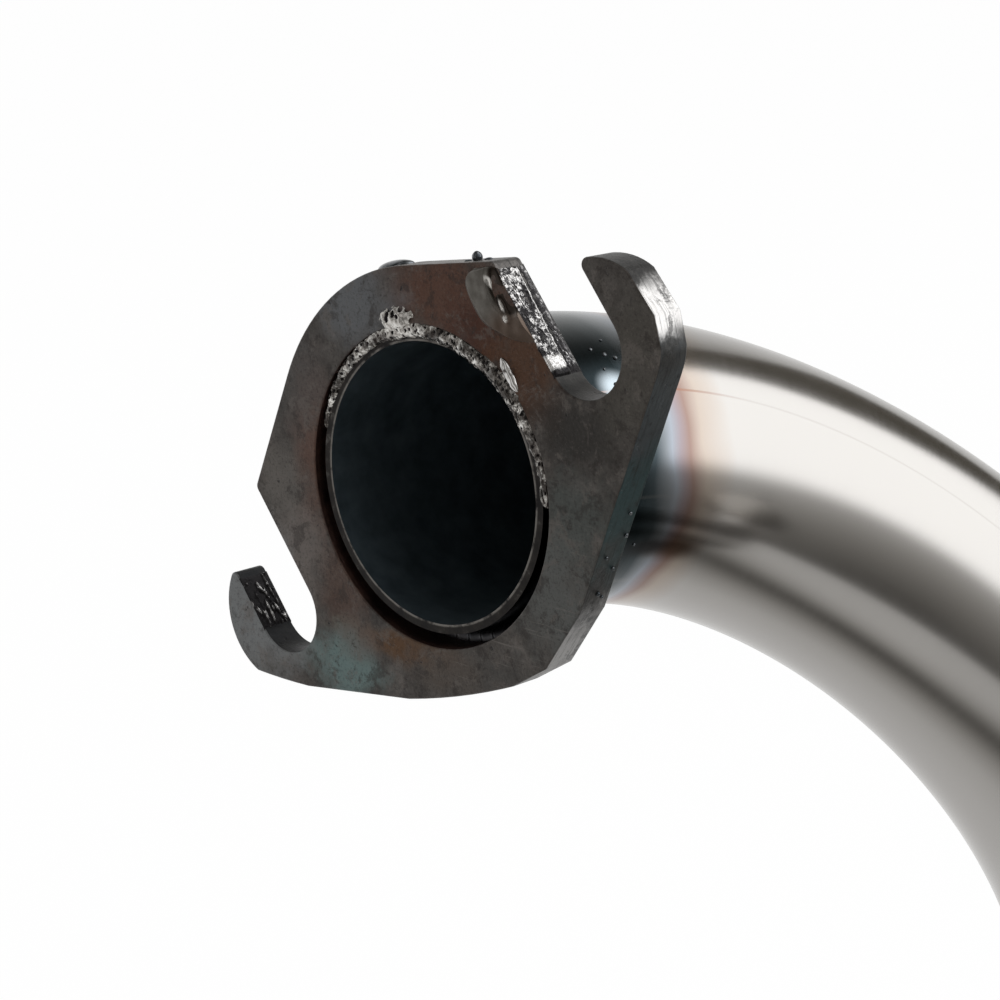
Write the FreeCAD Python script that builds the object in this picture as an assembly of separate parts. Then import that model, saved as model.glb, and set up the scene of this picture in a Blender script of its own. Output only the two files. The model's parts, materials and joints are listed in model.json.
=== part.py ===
"""Scooter exhaust: a two-stud slotted flange, a bent header pipe and a riveted silencer.

Frame: the origin is the centre of the flange bore on the mating face. The mating face looks
along -Y, the header leaves along +Y, the silencer runs along +X and +Z is up. Millimetres.
"""
import FreeCAD
import Part
import math
import os
from FreeCAD import Vector

# Inlet flange, a diamond plate whose stud holes are cut open into slots
plate_thickness = 4.0
bore_diameter = 34.3
web_radius = 23.2
ear_radius = 7.9
ear_overhang = 2.3
stud_pitch = 56.5
stud_shift = -0.5
stud_line_tilt = 39.0
slot_width = 9.6
slot_tip_round = 0.8
lower_ear_lift = 0.6
ground_edge_radius = 93.0
ground_edge_depth = 1.15
ground_edge_turn = 18.8

# Header pipe
pipe_diameter = 32.0
pipe_wall = 1.0
pipe_rise = 0.35
mouth_depth = 0.5
stub_length = 10.6
bend_radius = 48.0
first_bend_angle = 115.0
header_slope = 37.1
run_length = 40.0
entry_length = 24.0
header_reach = 20.0

# Silencer shell
sleeve_diameter = 90.0
sleeve_wall = 1.0
sleeve_length = 230.0
cap_wall = 1.2
collar_length = 14.0
cone_length = 48.0
skirt_length = 16.0
end_dish = 10.0
slip = 0.05

# Perforated core, packing and tail
core_wall = 1.0
core_overlap = 14.0
core_tail_overlap = 15.0
core_hole_diameter = 12.0
core_hole_pitch = 60.0
core_holes_around = 4
packing_clearance = 0.3
tail_wall = 1.5
tail_length = 42.0
tail_lip = 2.0

# Bands and rivets
band_width = 14.0
band_thickness = 0.8
rivet_count = 4
rivet_diameter = 4.0
rivet_head_diameter = 8.5
rivet_crown_diameter = 4.6
rivet_head_height = 1.8
rivet_tail_diameter = 6.0
rivet_tail_height = 1.4

# Hanger
saddle_wall = 1.5
saddle_length = 120.0
saddle_angle = 64.0
tab_thickness = 4.0
tab_base_length = 96.0
tab_top_length = 76.0
tab_height = 36.0
tab_corner = 9.0
tab_hole_diameter = 9.0
tab_hole_spacing = 50.0
tab_hole_drop = 13.0

# Weld beads
mouth_bead_start = 5.0
mouth_bead_end = 150.0
mouth_bead_depth = 2.5
mouth_bead_width = 2.0
bead_fullness = 0.64
back_bead_leg = 3.5
collar_bead_leg = 2.5
tail_bead_leg = 3.0
tab_bead_leg = 3.5
saddle_bead_leg = 1.4

# Worked out from the sizes above
bore_radius = bore_diameter / 2
pipe_radius = pipe_diameter / 2
sleeve_radius = sleeve_diameter / 2
slope = math.radians(header_slope)
first_turn = math.radians(first_bend_angle)
along_pipe = Vector(0, 1, 0)
along_silencer = Vector(1, 0, 0)
upwards = Vector(0, 0, 1)
mouth_centre = upwards * pipe_rise
sideways = along_silencer * math.cos(slope) - upwards * math.sin(slope)
run_direction = along_pipe * math.cos(first_turn) + sideways * math.sin(first_turn)
second_turn = math.acos(run_direction.dot(along_silencer))
stub_end = mouth_centre + along_pipe * stub_length
first_centre = stub_end + sideways * bend_radius


def first_bend_point(turn):
    """A point of the first bend's centre line, once it has turned by an angle in radians."""
    return first_centre + (along_pipe * math.sin(turn) - sideways * math.cos(turn)) * bend_radius


run_end = first_bend_point(first_turn) + run_direction * run_length
second_tangent = bend_radius * math.tan(second_turn / 2)
second_corner = run_end + run_direction * second_tangent
bend_exit = second_corner + along_silencer * second_tangent
axis_y = bend_exit.y
axis_z = bend_exit.z
collar_start = bend_exit.x + entry_length
collar_end = collar_start + collar_length
sleeve_start = collar_end + cone_length
sleeve_end = sleeve_start + sleeve_length
dish_end = sleeve_end + end_dish
header_end = collar_end + header_reach
core_start = header_end - core_overlap
core_end = dish_end + core_tail_overlap
tail_end = dish_end + tail_length
core_inner = pipe_radius + slip
core_outer = core_inner + core_wall
tail_inner = core_outer + slip
tail_outer = tail_inner + tail_wall
cap_radius = sleeve_radius - sleeve_wall - slip
saddle_inner = sleeve_radius + slip
saddle_outer = saddle_inner + saddle_wall
hanger_x = (sleeve_start + sleeve_end) / 2
front_rivets_at = sleeve_start + band_width / 2
rear_rivets_at = sleeve_end - band_width / 2
silencer_axis = Vector(0, axis_y, axis_z)


def plate_point(along, across):
    """A point of the mating face, measured along the stud line and across it."""
    tilt = math.radians(stud_line_tilt)
    x = along * math.cos(tilt) - across * math.sin(tilt)
    z = along * math.sin(tilt) + across * math.cos(tilt)
    return Vector(x, 0, z)


def stud_station(side):
    """Where a stud lies along the stud line: side is +1 for the upper one, -1 for the lower."""
    return stud_shift + side * stud_pitch / 2


def ring_point(station, radius):
    """A point of a turned profile above the silencer's axis."""
    return Vector(station, axis_y, axis_z + radius)


def turned(profile):
    """A solid turned about the silencer's axis from (station, radius) corners."""
    corners = [ring_point(station, radius) for station, radius in profile]
    return turned_wire(Part.makePolygon(corners + corners[:1]))


def turned_wire(wire):
    """A solid turned about the silencer's axis from a closed profile wire."""
    return Part.Face(wire).revolve(silencer_axis, along_silencer, 360)


def silencer_tube(start, end, inner, outer):
    """A plain tube on the silencer's axis."""
    return turned([(start, inner), (end, inner), (end, outer), (start, outer)])


def around_silencer(shape, count):
    """Copies of a shape spaced evenly round the silencer's axis."""
    copies = []
    for index in range(count):
        copy = shape.copy()
        copy.rotate(silencer_axis, along_silencer, index * 360 / count)
        copies.append(copy)
    return copies


def ear_centre(side):
    """Centre of an ear's round end, along the stud line and across it."""
    lift = lower_ear_lift if side < 0 else 0.0
    return stud_station(side) + side * ear_overhang, lift


def ear_flank(side, turn):
    """Ends, on the web and on the ear, of the straight edge between them that lies on one side."""
    along, across = ear_centre(side)
    spread = math.acos((web_radius - ear_radius) / math.hypot(along, across))
    angle = math.atan2(across, along) + turn * spread
    reach, rise = math.cos(angle), math.sin(angle)
    on_web = plate_point(web_radius * reach, web_radius * rise)
    on_ear = plate_point(along + ear_radius * reach, across + ear_radius * rise)
    return on_web, on_ear


def ear_end(side):
    """The furthest point of an ear."""
    along, across = ear_centre(side)
    return plate_point(along + side * ear_radius, across)


def ground_edge():
    """Round blank whose rim is the long shallow arc that the flange's lower edge is ground to."""
    turn = math.radians(ground_edge_turn)
    stand_off = ground_edge_radius - (web_radius - ground_edge_depth)
    centre = plate_point(stand_off * math.sin(turn), stand_off * math.cos(turn))
    return Part.makeCylinder(ground_edge_radius, plate_thickness, centre, along_pipe)


def inlet_flange():
    """Diamond plate: two round ears, a round web about the bore, two open stud slots."""
    edges = []
    for side in (1, -1):
        web_after, ear_after = ear_flank(side, 1)
        web_next, ear_next = ear_flank(-side, -1)
        ear_before = ear_flank(side, -1)[1]
        web_middle = plate_point(0, side * web_radius)
        edges.append(Part.Arc(ear_before, ear_end(side), ear_after))
        edges.append(Part.LineSegment(ear_after, web_after))
        edges.append(Part.Arc(web_after, web_middle, web_next))
        edges.append(Part.LineSegment(web_next, ear_next))
    outline = Part.Wire([edge.toShape() for edge in edges])
    plate = Part.Face(outline).extrude(along_pipe * plate_thickness)
    plate = plate.common(ground_edge())
    plate = plate.cut(Part.makeCylinder(bore_radius, plate_thickness, Vector(0, 0, 0), along_pipe))
    for side in (1, -1):
        plate = plate.cut(stud_slot(side))
    tips = [edge for edge in plate.Edges if is_slot_tip(edge)]
    return plate.makeFillet(slot_tip_round, tips)


def stud_slot(side):
    """Cutter for one stud slot: round at the stud and open across the stud line."""
    half = slot_width / 2
    station = stud_station(side)
    walls = [(station - half, 0), (station + half, 0)]
    mouths = [(station + half, 2 * web_radius), (station - half, 2 * web_radius)]
    corners = [plate_point(along, across) for along, across in walls + mouths]
    channel = Part.Face(Part.makePolygon(corners + corners[:1])).extrude(along_pipe * plate_thickness)
    seat = Part.makeCylinder(half, plate_thickness, plate_point(station, 0), along_pipe)
    return channel.fuse(seat)


def is_slot_tip(edge):
    """True for the four through-thickness edges where a slot breaks out of the outline."""
    first, last = edge.Vertexes[0].Point, edge.Vertexes[-1].Point
    if abs(abs(last.y - first.y) - plate_thickness) > slip:
        return False
    tilt = math.radians(stud_line_tilt)
    along = first.x * math.cos(tilt) + first.z * math.sin(tilt)
    across = first.z * math.cos(tilt) - first.x * math.sin(tilt)
    on_wall = any(abs(abs(along - stud_station(side)) - slot_width / 2) < slip for side in (1, -1))
    return on_wall and across > slip


def header_path():
    """Centre line of the header: stub, bend, straight run, bend, entry to the silencer."""
    inward = along_silencer - run_direction
    inward.normalize()
    second_centre = second_corner + inward * (bend_radius / math.cos(second_turn / 2))
    edges = [
        Part.LineSegment(mouth_centre + along_pipe * mouth_depth, stub_end),
        Part.Arc(stub_end, first_bend_point(first_turn / 2), first_bend_point(first_turn)),
        Part.LineSegment(first_bend_point(first_turn), run_end),
        Part.Arc(run_end, second_centre - inward * bend_radius, bend_exit),
        Part.LineSegment(bend_exit, Vector(header_end, axis_y, axis_z)),
    ]
    return Part.Wire([edge.toShape() for edge in edges])


def header_pipe():
    """Bent tube, open at both ends."""
    path = header_path()
    start = mouth_centre + along_pipe * mouth_depth

    def swept(radius):
        ring = Part.Wire(Part.makeCircle(radius, start, along_pipe))
        return path.makePipeShell([ring], True, False)

    return swept(pipe_radius).cut(swept(pipe_radius - pipe_wall))


def mouth_weld():
    """Part-ring of weld in the gap between the pipe's mouth and the bore, its crown inside the bore."""
    start = math.radians(mouth_bead_start)
    span = math.radians(mouth_bead_end - mouth_bead_start)
    far = 2 * web_radius
    fan = [start + span * step / 4 for step in range(5)]
    corners = [Vector(0, 0, 0)] + [Vector(far * math.cos(a), 0, far * math.sin(a)) for a in fan]
    sector = Part.Face(Part.makePolygon(corners + corners[:1])).extrude(along_pipe * mouth_bead_depth)
    gap = Part.makeCylinder(bore_radius - slip, mouth_bead_depth, Vector(0, 0, 0), along_pipe)
    gap = gap.cut(Part.makeCylinder(pipe_radius + slip, mouth_bead_depth, mouth_centre, along_pipe))
    filler = gap.common(sector)

    half = mouth_bead_width / 2
    middle = bore_radius - slip - half
    crown_arc = Part.Arc(Vector(middle - half, 0, 0), Vector(middle, -half, 0), Vector(middle + half, 0, 0))
    foot = Part.LineSegment(Vector(middle + half, 0, 0), Vector(middle - half, 0, 0))
    section = Part.Face(Part.Wire([crown_arc.toShape(), foot.toShape()]))
    section.rotate(Vector(0, 0, 0), Vector(0, -1, 0), mouth_bead_start)
    crown = section.revolve(Vector(0, 0, 0), Vector(0, -1, 0), mouth_bead_end - mouth_bead_start)
    return filler.fuse(crown).removeSplitter()


def bead_ring(centre, axis, radius, radial_leg, axial_leg):
    """Fillet weld round a tube: it stands on a flat face and runs along the tube by axial_leg."""
    foot = centre + upwards * (radius + slip)
    top = foot + upwards * radial_leg
    toe = foot + axis * axial_leg
    middle = foot + (upwards * radial_leg + axis * axial_leg) * bead_fullness
    outline = [Part.LineSegment(toe, foot), Part.LineSegment(foot, top), Part.Arc(top, middle, toe)]
    section = Part.Face(Part.Wire([edge.toShape() for edge in outline]))
    return section.revolve(centre, axis, 360)


def flange_back_weld():
    """Fillet weld between the pipe and the back of the flange."""
    centre = mouth_centre + along_pipe * plate_thickness
    return bead_ring(centre, along_pipe, pipe_radius, back_bead_leg, back_bead_leg)


def rivet_cutters(station):
    """Radial drills for one ring of rivets."""
    start = ring_point(station, sleeve_radius / 2)
    drill = Part.makeCylinder(rivet_diameter / 2 + slip, sleeve_radius, start, upwards)
    return Part.makeCompound(around_silencer(drill, rivet_count))


def front_cap():
    """Spun cone with a collar for the header and a skirt inside the sleeve."""
    collar_radius = pipe_radius + slip + cap_wall
    rise = cap_radius - collar_radius
    inset = cap_wall * math.tan(math.atan2(rise, cone_length) / 2)
    profile = [
        (collar_start, collar_radius),
        (collar_end, collar_radius),
        (sleeve_start, cap_radius),
        (sleeve_start + skirt_length, cap_radius),
        (sleeve_start + skirt_length, cap_radius - cap_wall),
        (sleeve_start + inset, cap_radius - cap_wall),
        (collar_end + inset, collar_radius - cap_wall),
        (collar_start, collar_radius - cap_wall),
    ]
    return turned(profile).cut(rivet_cutters(front_rivets_at))


def rear_cap():
    """Pressed end dish with a skirt inside the sleeve and a hole for the core."""
    def dish_arc(radius):
        centre_radius = cap_radius - end_dish
        turn = radius / math.sqrt(2)
        start = ring_point(sleeve_end, centre_radius + radius)
        middle = ring_point(sleeve_end + turn, centre_radius + turn)
        end = ring_point(sleeve_end + radius, centre_radius)
        return start, middle, end

    outer = dish_arc(end_dish)
    inner = dish_arc(end_dish - cap_wall)
    hole = core_outer + slip
    skirt_outer = ring_point(sleeve_end - skirt_length, cap_radius)
    skirt_inner = ring_point(sleeve_end - skirt_length, cap_radius - cap_wall)
    hole_outer = ring_point(dish_end, hole)
    hole_inner = ring_point(dish_end - cap_wall, hole)
    edges = [
        Part.LineSegment(skirt_outer, outer[0]),
        Part.Arc(*outer),
        Part.LineSegment(outer[2], hole_outer),
        Part.LineSegment(hole_outer, hole_inner),
        Part.LineSegment(hole_inner, inner[2]),
        Part.Arc(inner[2], inner[1], inner[0]),
        Part.LineSegment(inner[0], skirt_inner),
        Part.LineSegment(skirt_inner, skirt_outer),
    ]
    shell = turned_wire(Part.Wire([edge.toShape() for edge in edges]))
    return shell.cut(rivet_cutters(rear_rivets_at))


def sleeve():
    """Rolled silencer sleeve, drilled for both rings of rivets."""
    tube = silencer_tube(sleeve_start, sleeve_end, sleeve_radius - sleeve_wall, sleeve_radius)
    return tube.cut(rivet_cutters(front_rivets_at)).cut(rivet_cutters(rear_rivets_at))


def band(rivets_at):
    """Reinforcing band over the end of the sleeve."""
    start = rivets_at - band_width / 2
    inner = sleeve_radius + slip
    ring = silencer_tube(start, start + band_width, inner, inner + band_thickness)
    return ring.cut(rivet_cutters(rivets_at))


def rivets(station):
    """Ring of blind rivets through band, sleeve and skirt, with low conical heads."""
    tail = rivet_tail_diameter / 2
    head = rivet_head_diameter / 2
    shank = rivet_diameter / 2
    tail_foot = math.sqrt((cap_radius - cap_wall) ** 2 - tail ** 2) - slip
    tail_base = tail_foot - rivet_tail_height
    head_foot = sleeve_radius + band_thickness + 2 * slip
    head_top = head_foot + rivet_head_height
    profile = [
        (tail_base, 0),
        (tail_base, tail),
        (tail_foot, tail),
        (tail_foot, shank),
        (head_foot, shank),
        (head_foot, head),
        (head_top, rivet_crown_diameter / 2),
        (head_top, 0),
    ]
    corners = [ring_point(station + reach, height) for height, reach in profile]
    section = Part.Face(Part.makePolygon(corners + corners[:1]))
    rivet = section.revolve(ring_point(station, 0), upwards, 360)
    return Part.makeCompound(around_silencer(rivet, rivet_count))


def core_tube():
    """Perforated core: it slides over the header and ends inside the tail."""
    tube = silencer_tube(core_start, core_end, core_inner, core_outer)
    first = sleeve_start + skirt_length
    last = sleeve_end - skirt_length
    rows = int((last - first) // core_hole_pitch)
    margin = (last - first - (rows - 1) * core_hole_pitch) / 2
    for row in range(rows):
        station = first + margin + row * core_hole_pitch
        drill = Part.makeCylinder(core_hole_diameter / 2, 2 * core_outer, ring_point(station, 0), upwards)
        drill.rotate(silencer_axis, along_silencer, (row % 2) * 180 / core_holes_around)
        tube = tube.cut(Part.makeCompound(around_silencer(drill, core_holes_around)))
    return tube


def packing():
    """Sleeve of glass wool round the core."""
    start = sleeve_start + skirt_length + packing_clearance
    end = sleeve_end - skirt_length - packing_clearance
    inner = core_outer + packing_clearance
    return silencer_tube(start, end, inner, sleeve_radius - sleeve_wall - packing_clearance)


def tail_tip():
    """Outlet pipe with a rolled lip."""
    lip = Part.makeTorus(tail_outer, tail_lip, Vector(tail_end - tail_lip, axis_y, axis_z), along_silencer)
    tube = silencer_tube(dish_end, tail_end, tail_inner, tail_outer)
    hollow = Part.makeCylinder(tail_inner, tail_length, Vector(dish_end, axis_y, axis_z), along_silencer)
    return tube.fuse(lip).cut(hollow).removeSplitter()


def tail_weld():
    """Fillet weld between the tail and the rear cap."""
    centre = Vector(dish_end, axis_y, axis_z)
    return bead_ring(centre, along_silencer, tail_outer, tail_bead_leg, tail_bead_leg)


def collar_weld():
    """Fillet weld between the header and the front cap's collar."""
    centre = Vector(collar_start, axis_y, axis_z)
    return bead_ring(centre, along_silencer * -1, pipe_radius, cap_wall, collar_bead_leg)


def hanger_saddle():
    """Doubler plate rolled to the sleeve, under the hanger tab."""
    start = hanger_x - saddle_length / 2
    corners = [(start, saddle_inner), (start + saddle_length, saddle_inner)]
    corners += [(start + saddle_length, saddle_outer), (start, saddle_outer)]
    points = [ring_point(station, radius) for station, radius in corners]
    section = Part.Face(Part.makePolygon(points + points[:1]))
    section.rotate(silencer_axis, along_silencer, -saddle_angle / 2)
    return section.revolve(silencer_axis, along_silencer, saddle_angle)


def saddle_core():
    """The space that the saddle's outer face closes, to seat the tab and its welds."""
    start = ring_point(hanger_x - saddle_length, 0)
    return Part.makeCylinder(saddle_outer + slip, 2 * saddle_length, start, along_silencer)


def hanger_tab():
    """Tapered plate with two bolt holes, seated on the saddle."""
    top = saddle_outer + tab_height
    corners = [
        (hanger_x - tab_base_length / 2, sleeve_radius),
        (hanger_x + tab_base_length / 2, sleeve_radius),
        (hanger_x + tab_top_length / 2, top),
        (hanger_x - tab_top_length / 2, top),
    ]
    points = [ring_point(station, radius) for station, radius in corners]
    plate = Part.Face(Part.makePolygon(points + points[:1])).extrude(along_pipe * tab_thickness)
    plate.translate(along_pipe * (-tab_thickness / 2))
    top_edges = [edge for edge in plate.Edges if is_tab_corner(edge, axis_z + top)]
    plate = plate.makeFillet(tab_corner, top_edges)
    for side in (1, -1):
        centre = ring_point(hanger_x + side * tab_hole_spacing / 2, top - tab_hole_drop)
        start = centre - along_pipe * tab_thickness
        plate = plate.cut(Part.makeCylinder(tab_hole_diameter / 2, 2 * tab_thickness, start, along_pipe))
    return plate.cut(saddle_core())


def is_tab_corner(edge, top):
    """True for a through-thickness edge at the top of the hanger tab."""
    first, last = edge.Vertexes[0].Point, edge.Vertexes[-1].Point
    through = abs(abs(last.y - first.y) - tab_thickness) < slip
    return through and abs(first.z - top) < slip


def hanger_welds():
    """Fillet welds along both sides of the hanger tab."""
    beads = []
    for side in (1, -1):
        wall = axis_y + side * (tab_thickness / 2 + slip)
        start = hanger_x - tab_base_length / 2
        foot = axis_z + saddle_outer - tab_bead_leg
        corners = [
            Vector(start, wall, foot),
            Vector(start, wall + side * tab_bead_leg, foot),
            Vector(start, wall + side * tab_bead_leg, axis_z + saddle_outer),
            Vector(start, wall, axis_z + saddle_outer + tab_bead_leg),
        ]
        prism = Part.Face(Part.makePolygon(corners + corners[:1])).extrude(along_silencer * tab_base_length)
        beads.append(prism.cut(saddle_core()))
    return Part.makeCompound(beads)


def saddle_welds():
    """Fillet welds along the saddle's two straight edges."""
    start = hanger_x - saddle_length / 2
    beads = []
    for side in (1, -1):
        foot = ring_point(start, saddle_inner)
        top = ring_point(start, saddle_inner + saddle_bead_leg)
        toe = foot + along_pipe * (-side * saddle_bead_leg)
        toe = toe - upwards * (saddle_inner - math.sqrt(saddle_inner ** 2 - saddle_bead_leg ** 2))
        bead = Part.Face(Part.makePolygon([foot, top, toe, foot])).extrude(along_silencer * saddle_length)
        inner = Part.makeCylinder(saddle_inner, saddle_length, ring_point(start, 0), along_silencer)
        bead = bead.cut(inner)
        clear = math.degrees(slip / saddle_inner)
        bead.rotate(silencer_axis, along_silencer, side * (saddle_angle / 2 + clear))
        beads.append(bead)
    return Part.makeCompound(beads)


pieces = {
    "inlet_flange": inlet_flange(),
    "header_pipe": header_pipe(),
    "mouth_weld": mouth_weld(),
    "flange_back_weld": flange_back_weld(),
    "front_cap": front_cap(),
    "collar_weld": collar_weld(),
    "sleeve": sleeve(),
    "front_band": band(front_rivets_at),
    "rear_band": band(rear_rivets_at),
    "front_rivets": rivets(front_rivets_at),
    "rear_rivets": rivets(rear_rivets_at),
    "rear_cap": rear_cap(),
    "core_tube": core_tube(),
    "packing": packing(),
    "tail_tip": tail_tip(),
    "tail_weld": tail_weld(),
    "hanger_saddle": hanger_saddle(),
    "hanger_tab": hanger_tab(),
    "hanger_welds": hanger_welds(),
    "saddle_welds": saddle_welds(),
}

os.makedirs("parts", exist_ok=True)
for name, shape in pieces.items():
    shape.exportStep(f"parts/{name}.step")
    box = shape.BoundBox
    size = f"{box.XLength:.1f} x {box.YLength:.1f} x {box.ZLength:.1f} mm"
    print(f"{name}: {len(shape.Solids)} solids, {shape.Volume:.1f} mm3, {size}, valid {shape.isValid()}")
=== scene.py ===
# %% [markdown]
# # A scooter exhaust, dressed for its portrait
#
# The solids of the exhaust come ready made, at their real size, as a fixed frame. This lesson gives them
# their finish: oxidised flange steel, a spongy weld, a satin stainless header with its heat tint, and a
# plain brushed silencer. Every piece stays where its solid is. Lengths are in metres.

# %% Load the frame
import bpy
import json
import math
from contextlib import contextmanager
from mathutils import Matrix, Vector, noise

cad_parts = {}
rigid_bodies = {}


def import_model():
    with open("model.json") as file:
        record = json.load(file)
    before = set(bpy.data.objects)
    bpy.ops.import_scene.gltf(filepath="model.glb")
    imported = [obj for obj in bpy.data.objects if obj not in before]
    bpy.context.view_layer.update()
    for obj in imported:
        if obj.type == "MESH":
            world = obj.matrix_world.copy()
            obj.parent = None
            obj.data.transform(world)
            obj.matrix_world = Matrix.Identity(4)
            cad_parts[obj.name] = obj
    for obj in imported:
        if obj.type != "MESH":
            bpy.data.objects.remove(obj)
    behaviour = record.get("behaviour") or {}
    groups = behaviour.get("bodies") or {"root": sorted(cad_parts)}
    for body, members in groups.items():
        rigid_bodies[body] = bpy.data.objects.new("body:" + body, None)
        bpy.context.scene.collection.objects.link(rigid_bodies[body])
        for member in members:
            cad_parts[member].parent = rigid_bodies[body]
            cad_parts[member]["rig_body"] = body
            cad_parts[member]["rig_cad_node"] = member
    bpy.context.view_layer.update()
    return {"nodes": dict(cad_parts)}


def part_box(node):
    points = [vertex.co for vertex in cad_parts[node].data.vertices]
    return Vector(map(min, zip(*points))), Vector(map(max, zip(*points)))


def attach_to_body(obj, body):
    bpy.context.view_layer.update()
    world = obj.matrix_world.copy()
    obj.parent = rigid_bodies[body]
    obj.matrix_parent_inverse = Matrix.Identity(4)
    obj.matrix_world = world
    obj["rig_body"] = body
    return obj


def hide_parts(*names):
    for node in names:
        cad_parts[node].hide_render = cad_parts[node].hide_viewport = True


MM = 0.001
merge_distance = 1e-6
forward, up = Vector((0, 1, 0)), Vector((0, 0, 1))
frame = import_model()

# %% [markdown]
# ## The camera
#
# The photograph was taken close up, from the right and a little above, with the flange facing the lens. A
# camera aimed at a point needs only two places, so no angle has to be guessed: the track quaternion turns it
# without roll.

# %% Camera
camera_place = Vector((178.64, -176.57, 65.40)) * MM
camera_target = Vector((10.54, 0.0, 0.66)) * MM
camera_data = bpy.data.cameras.new("portrait_camera")
camera_data.lens = 90
camera_data.sensor_width = 36
camera_data.clip_start = 0.01
camera = bpy.data.objects.new("portrait_camera", camera_data)
camera.location = camera_place
camera.rotation_euler = (camera_target - camera_place).to_track_quat("-Z", "Y").to_euler()
bpy.context.scene.collection.objects.link(camera)
bpy.context.scene.camera = camera
print("camera to flange", round((camera_target - camera_place).length, 3), "m")

# %% [markdown]
# ## Small helpers for working by hand in code
#
# Operators act on whatever is selected and active, so each step first says which object that is. Applying a
# modifier at once keeps the finished mesh plain, which makes it export as it looks.


# %% Helpers
def pick(piece):
    """Selects one object and makes it the active one."""
    bpy.ops.object.select_all(action="DESELECT")
    piece.select_set(True)
    bpy.context.view_layer.objects.active = piece


@contextmanager
def editing(piece):
    """Edit mode on one object, with all of it selected."""
    pick(piece)
    bpy.ops.object.mode_set(mode="EDIT")
    bpy.ops.mesh.select_all(action="SELECT")
    yield
    bpy.ops.object.mode_set(mode="OBJECT")


def apply_modifier(piece, kind, **settings):
    """Adds a modifier, sets it up and applies it."""
    pick(piece)
    modifier = piece.modifiers.new(kind.lower(), kind)
    for key, value in settings.items():
        setattr(modifier, key, value)
    bpy.ops.object.modifier_apply(modifier=modifier.name)


def clean_up(piece):
    """Merges doubles and turns every face outwards."""
    with editing(piece):
        bpy.ops.mesh.remove_doubles(threshold=merge_distance)
        bpy.ops.mesh.normals_make_consistent(inside=False)


def named(piece, name):
    """Names an object and its mesh alike."""
    piece.name = name
    piece.data.name = name
    return piece


def started(add, name, **settings):
    """Adds a primitive with nothing else selected, and names it."""
    bpy.ops.object.select_all(action="DESELECT")
    add(**settings)
    return named(bpy.context.object, name)


def settle(piece):
    """Puts the place, turn and scale of an object into its mesh."""
    pick(piece)
    bpy.ops.object.transform_apply(location=True, rotation=True, scale=True)


def set_down(piece, scale, turn, place):
    """Scales, turns and places a piece, all of it in the mesh."""
    piece.scale = scale
    piece.rotation_euler = turn
    piece.location = place
    settle(piece)


def remember(piece, name, values):
    """Stores a number for each vertex, for a finish to read."""
    piece.data.attributes.new(name, "FLOAT", "POINT").data.foreach_set("value", values)


def attach(piece, slot, *nodes):
    """Lets a piece ride on the exhaust and hides the solids that it stands for."""
    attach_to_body(piece, "root")
    if nodes:
        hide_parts(*nodes)
    print(piece.name, len(piece.data.polygons), "faces")


def finish_piece(piece, material, slot, *nodes):
    """Gives a piece its one finish and attaches it."""
    piece.data.materials.clear()
    piece.data.materials.append(material)
    attach(piece, slot, *nodes)


def joined(pieces, name):
    """Joins pieces into one smooth object."""
    bpy.ops.object.select_all(action="DESELECT")
    for piece in pieces:
        piece.select_set(True)
    bpy.context.view_layer.objects.active = pieces[0]
    bpy.ops.object.join()
    bpy.ops.object.shade_smooth()
    return named(bpy.context.object, name)


def plain_copy(node, name):
    """A copy of a solid with its triangles merged into one mesh."""
    pick(frame["nodes"][node])
    bpy.ops.object.duplicate()
    piece = named(bpy.context.object, name)
    piece.parent = None
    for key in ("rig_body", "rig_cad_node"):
        del piece[key]
    with editing(piece):
        bpy.ops.mesh.customdata_custom_splitnormals_clear()
        bpy.ops.mesh.remove_doubles(threshold=merge_distance)
        bpy.ops.mesh.dissolve_limited(angle_limit=math.radians(0.5))
    return piece


def break_edges(piece, width, angle=35):
    """Breaks the sharp edges of a piece with a narrow bevel; the flat faces keep flat shading."""
    apply_modifier(
        piece, "BEVEL", width=width, segments=3, limit_method="ANGLE", angle_limit=math.radians(angle)
    )
    bpy.ops.object.shade_smooth_by_angle(angle=math.radians(angle))
    apply_modifier(piece, "WEIGHTED_NORMAL", keep_sharp=True)


# %% [markdown]
# ## A short way to write node trees
#
# A material is a graph. `Nodes` adds nodes with their inputs already linked, and `Finish` is such a graph
# round one Principled shader, so that each finish below reads as a list of what changes its colour, its gloss
# and its relief.


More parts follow.
